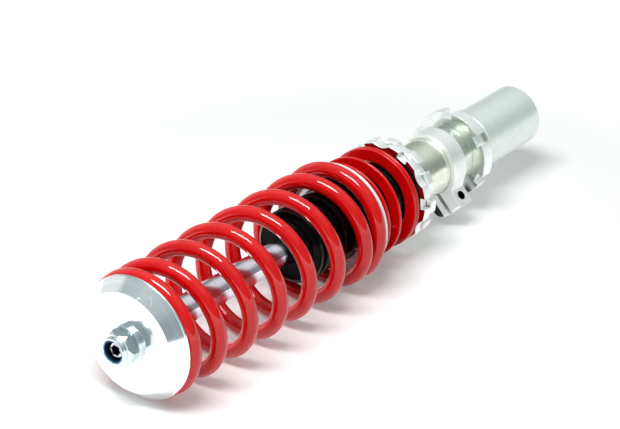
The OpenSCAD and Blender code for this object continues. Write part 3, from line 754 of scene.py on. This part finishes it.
def at_radius(spot, radius, height):
    return (*(spot.xy.normalized() * radius), height)


def close_end(bm, height, step, bore):
    rim = open_rim(bm, height)
    rim = carry_on(bm, rim, lambda at: at_radius(at, bore + LIP, at.z + step))
    carry_on(bm, rim, lambda at: at_radius(at, bore, at.z))


THREAD_LOW, THREAD_HIGH = 70.5, 259.4
TUBE_BORE, END_STEP, LIP = 19.9, 0.6, 2.2
tube = cut_thread(r=22.88, depth=0.08, pitch=2, low=THREAD_LOW, high=THREAD_HIGH)
close_end(tube, THREAD_LOW, -END_STEP, TUBE_BORE)
close_end(tube, THREAD_HIGH, END_STEP, TUBE_BORE)
turn_outline(tube, [(17.95, 8, 0.5), (20.92, 8, 0.5), (20.92, 69.9, 0),
                    (TUBE_BORE, 69.9, 0), (17.95, 69.9, 0)])
bmesh.ops.recalc_face_normals(tube, faces=tube.faces)
hang(tube, "threaded_tube", "tube", "damper_tube", tube_zinc,
     crisp=15, weigh=False)

# %% [markdown]
# ## Spanner rings and the bracket clamp
# Their outlines are milled, not turned: notches for the spanner, scallops between
# them, and a clamp with two ears. They could be drawn again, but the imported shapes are
# right. So a copy of each is merged into clean faces, and every hard edge gets the small
# rounded bevel that catches the light on a real edge.

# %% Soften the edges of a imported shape
MERGE_M = 2e-6
SAME_FLAT, HARD_EDGE = radians(0.5), radians(28)
SQUARE_ON = 0.995


def softened(node, name, body, finish, width, face_finish=None):
    bm = bmesh.new()
    bm.from_mesh(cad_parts[node].data)
    bmesh.ops.remove_doubles(bm, verts=bm.verts, dist=MERGE_M)
    bmesh.ops.dissolve_limit(bm, angle_limit=SAME_FLAT, verts=bm.verts, edges=bm.edges)
    hard = [e for e in bm.edges if len(e.link_faces) == 2
            and e.calc_face_angle(0) > HARD_EDGE]
    bmesh.ops.bevel(bm, geom=hard, offset=width / 1000, offset_type="OFFSET",
                    affect="EDGES", segments=3, profile=0.5, material=-1,
                    clamp_overlap=True)
    bmesh.ops.remove_doubles(bm, verts=bm.verts, dist=MERGE_M)
    mark_faces(bm, lambda spot, way: face_finish and abs(way.x) > SQUARE_ON)
    return hang_laid(bm, name, body, node, finish, face_finish)


softened("lower_lock_ring", "lower_ring", "lower_ring", ring_plate, 1.2,
         ring_face)
softened("lock_ring", "upper_lock_ring", "upper_ring", ring_plate, 0.5,
         ring_face)
softened("perch_ring", "spring_perch", "perch", ring_plate, 0.5,
         ring_face)
band = softened("bracket_clamp", "band_clamp", "clamp", ring_plate, 0.45)
softened("clamp_bolt", "socket_bolt", "clamp", black_steel, 0.35)

# %% Paint shade into the tapped hole
EARS_AT, BOLT_OUT, HOLE_R = radians(-48), 0.0324, 0.0036
clamp_mid = sum(corner[0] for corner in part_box("bracket_clamp")) / 2
ears_to = Vector((0, cos(EARS_AT), sin(EARS_AT)))
hole = ears_to * BOLT_OUT + Vector((clamp_mid, 0, 0))
hole_way = ears_to.cross(Vector((1, 0, 0)))
# the faces round the bolt's axis take the near-black painted shade
band.data.materials.append(painted_shade)
for face in band.data.polygons:
    corners = [band.data.vertices[i].co - hole for i in face.vertices]
    if all((c - hole_way * c.dot(hole_way)).length < HOLE_R for c in corners):
        face.material_index = 1
print("hole faces:", sum(face.material_index for face in band.data.polygons))

# %% [markdown]
# ## The main spring
# A spring is one section of wire carried round and up. A curve with a bevel could draw
# it, but a flat wire would twist on the way. Here the section is spun one short step at
# a time with the rise of that step, because the first and last turns lie nearly flat,
# so that the spring can stand on its seat, and the pitch opens between them.

# %% How high the wire has climbed after a number of turns
FLAT_TURNS = 0.2
RAMP_TURNS = 0.85
LEAD_TURNS = FLAT_TURNS + RAMP_TURNS


def climb(u, turns, span, end_rise):
    if u > turns / 2:
        return span - climb(turns - u, turns, span, end_rise)
    if u < FLAT_TURNS:
        return 0
    if u < LEAD_TURNS:
        return end_rise * ((u - FLAT_TURNS) / RAMP_TURNS) ** 2
    return end_rise + (span - 2 * end_rise) * (u - LEAD_TURNS) / (turns - 2 * LEAD_TURNS)


# %% Wind a section of wire
def wind(section, mid_r, clock, turns, low, lift, steps=60):
    bm = bmesh.new()
    start = radians(clock + 90)
    points = [bm.verts.new(((mid_r + r) * cos(start), (mid_r + r) * sin(start), low + z))
              for r, z in section]
    first = bm.faces.new(points)
    geom = points + list(first.edges)
    count = round(turns * steps)
    for i in range(count):
        u, v = i * turns / count, (i + 1) * turns / count
        rise = lift(v) - lift(u)
        made = bmesh.ops.spin(bm, geom=geom, cent=(0, 0, 0), axis=(0, 0, 1),
                              dvec=(0, 0, rise), angle=2 * pi * turns / count, steps=1)
        geom = made["geom_last"]
    last = [g for g in geom if isinstance(g, bmesh.types.BMEdge)]
    bmesh.ops.contextual_create(bm, geom=last)
    bmesh.ops.remove_doubles(bm, verts=bm.verts, dist=MERGE)
    bmesh.ops.recalc_face_normals(bm, faces=bm.faces)
    tips = [f for f in bm.faces if len(f.verts) == len(section)]
    rims = [e for f in tips for e in f.edges]
    bmesh.ops.bevel(bm, geom=rims, offset=0.5, offset_type="OFFSET", affect="EDGES",
                    segments=2, profile=0.5, material=-1)
    print("wound", round(turns, 2), "turns in", count, "steps")
    return bm


# %% The red main spring
def round_section(d, sides):
    return [(d / 2 * cos(2 * pi * i / sides), d / 2 * sin(2 * pi * i / sides))
            for i in range(sides)]


WIRE, MAIN_TURNS, MAIN_LONG, END_RISE = 11.1, 7.6, 216.5, 13.8
FLANGE_TOP = 234.1
main = wind(round_section(WIRE, 32), mid_r=40.5, clock=-45, turns=MAIN_TURNS,
            low=FLANGE_TOP + WIRE / 2,
            lift=lambda u: climb(u, MAIN_TURNS, MAIN_LONG - WIRE, END_RISE))
main_coil = hang(main, "main_coil", "separator", "main_spring",
                 spring_red, crisp=60, weigh=False)
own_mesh(main_coil)


# %% [markdown]
# ## The helper spring
# A short spring of flat wire keeps the main spring seated when the wheel hangs free. A
# plain helix would do for most of them, but these turns lie flat for part of the way
# and climb in the rest. So it is wound in the same way, with a rise that goes in steps.

# %% A flat section with rounded edges
def flat_section(width, thick, rounding):
    bm = bmesh.new()
    corners = [bm.verts.new((x, y, 0)) for x, y in
               ((-width / 2, -thick / 2), (width / 2, -thick / 2),
                (width / 2, thick / 2), (-width / 2, thick / 2))]
    bm.faces.new(corners)
    bmesh.ops.bevel(bm, geom=bm.verts[:], offset=rounding, offset_type="OFFSET",
                    affect="VERTICES", segments=4, profile=0.5, material=-1)
    rim = [(loop.vert.co.x, loop.vert.co.y) for face in bm.faces
           for loop in face.loops]
    bm.free()
    return rim


# %% The flat helper spring, which climbs in steps
WIRE_T, WIRE_W, HELPER_LOW, HELPER_LONG, HELPER_TURNS = 2.5, 9.5, 180.4, 49.6, 4.5
top_rest = HELPER_LONG - WIRE_T
first, last = 6.1, top_rest - 5.4
second = first + WIRE_T + 0.6
third = second + 0.58 * (last - second)
helper_steps = [(0, 0), (0.15, 0)] + [
    (i + u, rest) for i, rest in enumerate((first, second, third, last))
    for u in (0.53, 0.93)] + [(HELPER_TURNS - 0.15, top_rest), (HELPER_TURNS, top_rest)]


def stepped(u):
    for (u0, z0), (u1, z1) in zip(helper_steps, helper_steps[1:]):
        if u <= u1:
            t = (u - u0) / (u1 - u0)
            return z0 + (z1 - z0) * t * t * (3 - 2 * t)
    return helper_steps[-1][1]


helper = wind(flat_section(WIRE_W, WIRE_T, 0.9), mid_r=34.15, clock=135,
              turns=HELPER_TURNS, low=HELPER_LOW + WIRE_T / 2, lift=stepped, steps=72)
helper_coil = hang(helper, "helper_coil", "spring_stack", "helper_spring",
                   spring_red, crisp=60)
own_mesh(helper_coil)

# %% [markdown]
# ## Between and inside the springs
# A thin white flanged ring parts the two springs, with a collar that centres them, its side
# painted near black as shade. Inside sit a ribbed sleeve that keeps the coils off the
# thread, and the bump stop that takes the last of the stroke. All three are turned, and a
# loop draws the sleeve's ribs, because they are alike.

# %% The separator, with painted shade on its collar inside the springs
COLLAR_R, COLLAR_TOP = 31.57, 243.6
flanged = turned([(28.07, 230.5, 0.3), (42.1, 230.5, 0.2), (42.1, FLANGE_TOP, 0.4),
                  (COLLAR_R, FLANGE_TOP, 0.3), (COLLAR_R, COLLAR_TOP, 0.7),
                  (28.07, COLLAR_TOP, 0.5)], 128)
# the collar's side below its rounded top takes the near-black painted shade
mark_faces(flanged, lambda spot, way: spot.xy.length < COLLAR_R + 0.43
           and spot.z < COLLAR_TOP - 0.7)
hang(flanged, "spring_separator", "separator", "separator_ring",
     satin_plate, second=painted_shade)


# %% The ribbed sleeve and the bump stop
def ribbed_outline(low, high, inner, outer, head_r, head, ribs, depth):
    ribbed = high - low - head
    rib = ribbed / (ribs + 0.5)
    outline = [(inner, low, 0.2), (outer, low, 0.4)]
    for i in range(1, ribs + 1):
        z = low + i * rib
        outline += [(outer, z, 0.25), (outer - depth, z + 0.2, 0.15),
                    (outer - depth, z + rib / 3 - 0.2, 0.15), (outer, z + rib / 3, 0.25)]
    return outline + [(outer, high - head, 0.3), (head_r, high - head, 0.8),
                      (head_r, high, 1.2), (inner, high, 0.5)]


hang(turned(ribbed_outline(low=180.1, high=261.0, inner=23.2, outer=24.8, head_r=27.3,
                           head=15, ribs=9, depth=0.7)),
     "ribbed_sleeve", "spring_stack", "dust_sleeve", black_plastic)
hang(turned([(10.5, 262, 0.3), (22.8, 262, 0.5), (22.8, 267.1, 0.3), (27.3, 267.1, 1.6),
             (27.3, 282.6, 1.3), (24.5, 282.9, 0.8), (24.5, 285.0, 0.8),
             (27.3, 285.3, 1.3), (27.3, 290.2, 0.8), (23.3, 294.2, 1.2),
             (10.5, 294.2, 0.8)], 128),
     "stop_rubber", "tube", "bump_stop", rubber)

# %% [markdown]
# ## The rod
# The chromed rod carries the piston inside and the seat outside. Its stud has a
# hexagon socket, so that it can be held while the nut is turned. The socket could be
# cut with a boolean, but bridging the stud's rim to a hexagon and pushing that down
# keeps the mesh closed and clean.

# %% Turn the rod and sink its socket
def sink_socket(bm, across_flats, top, depth, turn):
    mouth = open_rim(bm, top)
    hexagon = bmesh.ops.create_circle(bm, segments=6, radius=across_flats / 2
                                      / cos(pi / 6))["verts"]
    bmesh.ops.rotate(bm, verts=hexagon, cent=(0, 0, 0),
                     matrix=Matrix.Rotation(turn, 3, "Z"))
    bmesh.ops.translate(bm, verts=hexagon, vec=(0, 0, top))
    sides = list({e for v in hexagon for e in v.link_edges})
    bmesh.ops.bridge_loops(bm, edges=mouth + sides)
    foot = carry_on(bm, sides, lambda at: (at.x, at.y, top - depth))
    bmesh.ops.contextual_create(bm, geom=foot)


def turned_bar(outline, steps=96):
    bm = bmesh.new()
    corners = [bm.verts.new((r, 0, z)) for r, z in outline]
    edges = [bm.edges.new(pair) for pair in zip(corners, corners[1:])]
    bmesh.ops.spin(bm, geom=corners + edges, cent=(0, 0, 0), axis=(0, 0, 1),
                   angle=2 * pi, steps=steps, use_merge=True)
    bmesh.ops.remove_doubles(bm, verts=bm.verts, dist=MERGE)
    return bm


# %% The rod, its tip bright, with painted shade on its socket, chamfer and stud inside the nut
STUD_TIP, NUT_FOOT, MOUTH_R, SOCKET_R = 473.0, 464.4, 4.2, 3.4
rod = turned_bar([(0, 176), (5.5, 176), (6, 176.5), (6, 208), (9.6, 208), (10, 208.4),
                  (10, 445.9), (9.4, 446.6), (6.95, 446.6), (6.95, STUD_TIP - 2.2),
                  (5.5, STUD_TIP - 0.2), (5.2, STUD_TIP), (MOUTH_R, STUD_TIP)])
sink_socket(rod, across_flats=6, top=STUD_TIP, depth=8, turn=0.3)
bmesh.ops.recalc_face_normals(rod, faces=rod.faces)
# above the nut's foot every face but the tip's flat ring takes the near-black painted shade
mark_faces(rod, lambda spot, way: spot.z > NUT_FOOT + 0.1
           and not (way.z > 0.95 and spot.xy.length > SOCKET_R))
hang(rod, "chrome_rod", "rod", "piston_rod", chrome, second=painted_shade,
     crisp=35)

# %% [markdown]
# ## The upper seat
# It is turned from bar: a mirror-flat face, a crisp edge, a steep flank and a thin rim.
# One bevel could round it all alike, but on the lathe each corner has its own radius,
# and light on metal shows it. Two thin washers lie between the seat and the nut.

# %% The upper seat and the washers on it
SEAT_FACE, WASHER_T, WASHER_GAP = 461.4, 1.45, 0.05
hang(turned([(7.05, 446.6, 0.2), (14, 446.6, 0.4), (14, 452.1, 0.2), (28.07, 452.1, 0.2),
             (28.07, 441.1, 0.4), (31.57, 441.1, 0.9), (31.57, 450.6, 0.2),
             (44.1, 450.6, 0.3), (44.1, 452.2, 0.45), (43.6, 452.2, 0.15),
             (36.1, SEAT_FACE, 0.35), (7.05, SEAT_FACE, 0.2)], 192),
     "seat_top", "rod", "upper_spring_seat", seat_metal)

washer_pair = bmesh.new()
for under in (SEAT_FACE, SEAT_FACE + WASHER_T + WASHER_GAP):
    over = under + WASHER_T
    turn_outline(washer_pair, [(7.2, under, 0.15), (13.3, under, 0.4),
                               (13.3, over, 0.4), (7.2, over, 0.15)])
hang(washer_pair, "washer_pair", "rod", "washers", nut_plate)

# %% [markdown]
# ## The self-locking nut
# A six-sided cylinder would be a bolt in a toy. On a real nut a cone trims the corners
# at both faces, which leaves the curved edge that every nut has. So the hexagon starts
# as a circle of many points, pulled in to six flats, and where it meets the cone its
# height follows. A rolled collar above holds the blue nylon ring.

# %% Draw the hexagon and trim its corners
def hex_radius(turn, across_flats):
    fold = (turn + pi / 6) % (pi / 3) - pi / 6
    return across_flats / 2 / cos(fold)


def nut_rings(across_flats, low, high, foot_slope, shoulder_slope, clock, segments=180):
    bm = bmesh.new()
    half = across_flats / 2
    ring = bmesh.ops.create_circle(bm, segments=segments, radius=8.0)["verts"]
    bmesh.ops.rotate(bm, verts=ring, cent=(0, 0, 0),
                     matrix=Matrix.Rotation(radians(clock), 3, "Z"))
    bmesh.ops.translate(bm, verts=ring, vec=(0, 0, low))
    edges = list({e for v in ring for e in v.link_edges})
    for base, slope, on_flats in ((low, 0, False), (low, foot_slope, True),
                                  (high, -shoulder_slope, True), (high, 0, False)):
        def trimmed(at):
            way = at.xy.normalized()
            turn = Vector((1, 0)).angle_signed(way) + radians(clock)
            reach = hex_radius(turn, across_flats) if on_flats else half
            return way.x * reach, way.y * reach, base + (reach - half) * slope
        edges = carry_on(bm, edges, trimmed)
    return bm, edges


# %% Roll the collar over it
COLLAR = ((10.4, 472.8), (9.75, 472.9), (9.6, 473.2), (9.95, 473.5), (10.0, 473.9),
          (9.9, 474.4), (9.45, 474.7), (9.45, 474.9), (9.8, 475.1), (9.9, 475.5),
          (9.8, 475.9), (9.4, 476.3), (8.85, 476.4), (8.35, 476.25), (8.1, 475.9),
          (8.08, 473.6), (7.05, 473.6), (7.05, NUT_FOOT))
ACROSS_FLATS, MILLED_EDGE = 22, radians(20)
nut, top_rim = nut_rings(ACROSS_FLATS, low=NUT_FOOT, high=472.6,
                         foot_slope=tan(radians(30)), shoulder_slope=2.0, clock=-2)
for radius, height in COLLAR:
    top_rim = carry_on(nut, top_rim, lambda at: at_radius(at, radius, height))
start_rim = [e for e in nut.edges if len(e.link_faces) == 1 and e not in top_rim]
bmesh.ops.bridge_loops(nut, edges=top_rim + start_rim)
bmesh.ops.remove_doubles(nut, verts=nut.verts, dist=MERGE)
bmesh.ops.recalc_face_normals(nut, faces=nut.faces)
milled = [e for e in nut.edges if e.calc_face_angle(0) > MILLED_EDGE
          and all(v.co.xy.length > ACROSS_FLATS / 2 - 0.1 for v in e.verts)]
bmesh.ops.bevel(nut, geom=milled, offset=0.14, offset_type="OFFSET", affect="EDGES",
                segments=2, profile=0.5, material=-1, clamp_overlap=True)
hang(nut, "lock_nut", "rod", "top_nut", nut_plate, crisp=18)

# %% The nylon ring, its own blue on the rim and painted shade in its bore
RIM_R = 7.25
nylon = turned([(6.45, 473.6, 0.2), (8.05, 473.6, 0), (8.05, 475.8, 0.3),
                (7.3, 476.0, 0.3), (7.1, 475.2, 0.1), (6.45, 474.6, 0.2)])
# faces inside the rim take the painted shade
mark_faces(nylon, lambda spot, way: spot.xy.length < RIM_R)
hang(nylon, "nylon_ring", "rod", "nylon_insert", blue_nylon,
     second=painted_shade_nylon)

# %% [markdown]
# ## Finish
# A filmic view would grey the white table. The Standard one shows colours as written.

# %% Show colours as written
bpy.context.scene.view_settings.view_transform = "Standard"
